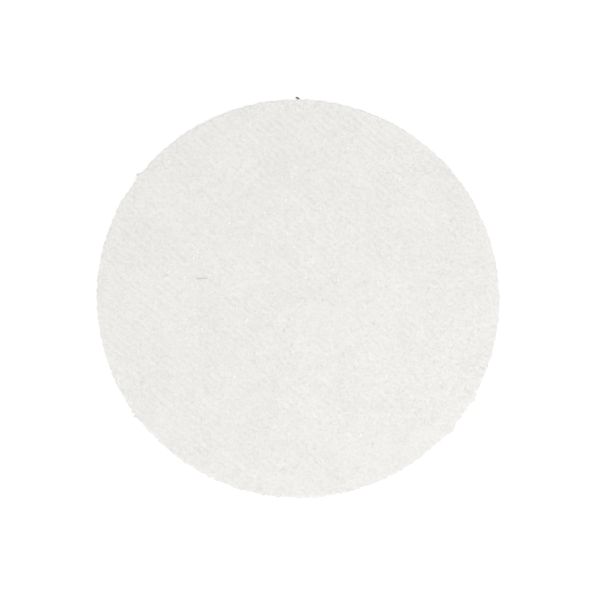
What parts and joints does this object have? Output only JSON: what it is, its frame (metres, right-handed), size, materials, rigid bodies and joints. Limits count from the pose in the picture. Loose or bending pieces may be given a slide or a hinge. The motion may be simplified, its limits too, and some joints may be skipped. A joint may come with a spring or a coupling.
{
  "type": "felt polishing wheel",
  "caption": "Flat round white felt polishing disc with no centre hole, adhesive backed, with a slit release liner that peels off so it can be stuck to a lap plate.",
  "frame": {"origin": "centre of the release liner's underside, where the wheel rests on a bench", "axes": "+Z out of the polishing face along the wheel's axis; +Y along the slit in the release liner; +X across the slit"},
  "size_m": [0.1524, 0.1524, 0.0037],
  "materials": {
    "felt": "matte",
    "scrim_thread": "matte",
    "adhesive": "satin",
    "film": "gloss",
    "liner_paper": "satin"
  },
  "bodies": {
    "felt_wheel": {"felt_face_layer": "felt", "scrim": "scrim_thread", "felt_back_layer": "felt", "felt_side_adhesive": "adhesive", "carrier_film": "film", "lap_side_adhesive": "adhesive"},
    "liner_half_right": {"release_liner_right": "liner_paper"},
    "liner_half_left": {"release_liner_left": "liner_paper"}
  },
  "joints": [
    {"name": "right_liner_peel", "type": "hinge", "parent": "felt_wheel", "child": "liner_half_right", "pos_m": [0.0757, 0, 0.0001], "axis": [0, -1, 0], "range_deg": [0, 180]},
    {"name": "left_liner_peel", "type": "hinge", "parent": "felt_wheel", "child": "liner_half_left", "pos_m": [-0.0757, 0, 0.0001], "axis": [0, 1, 0], "range_deg": [0, 180]}
  ]
}
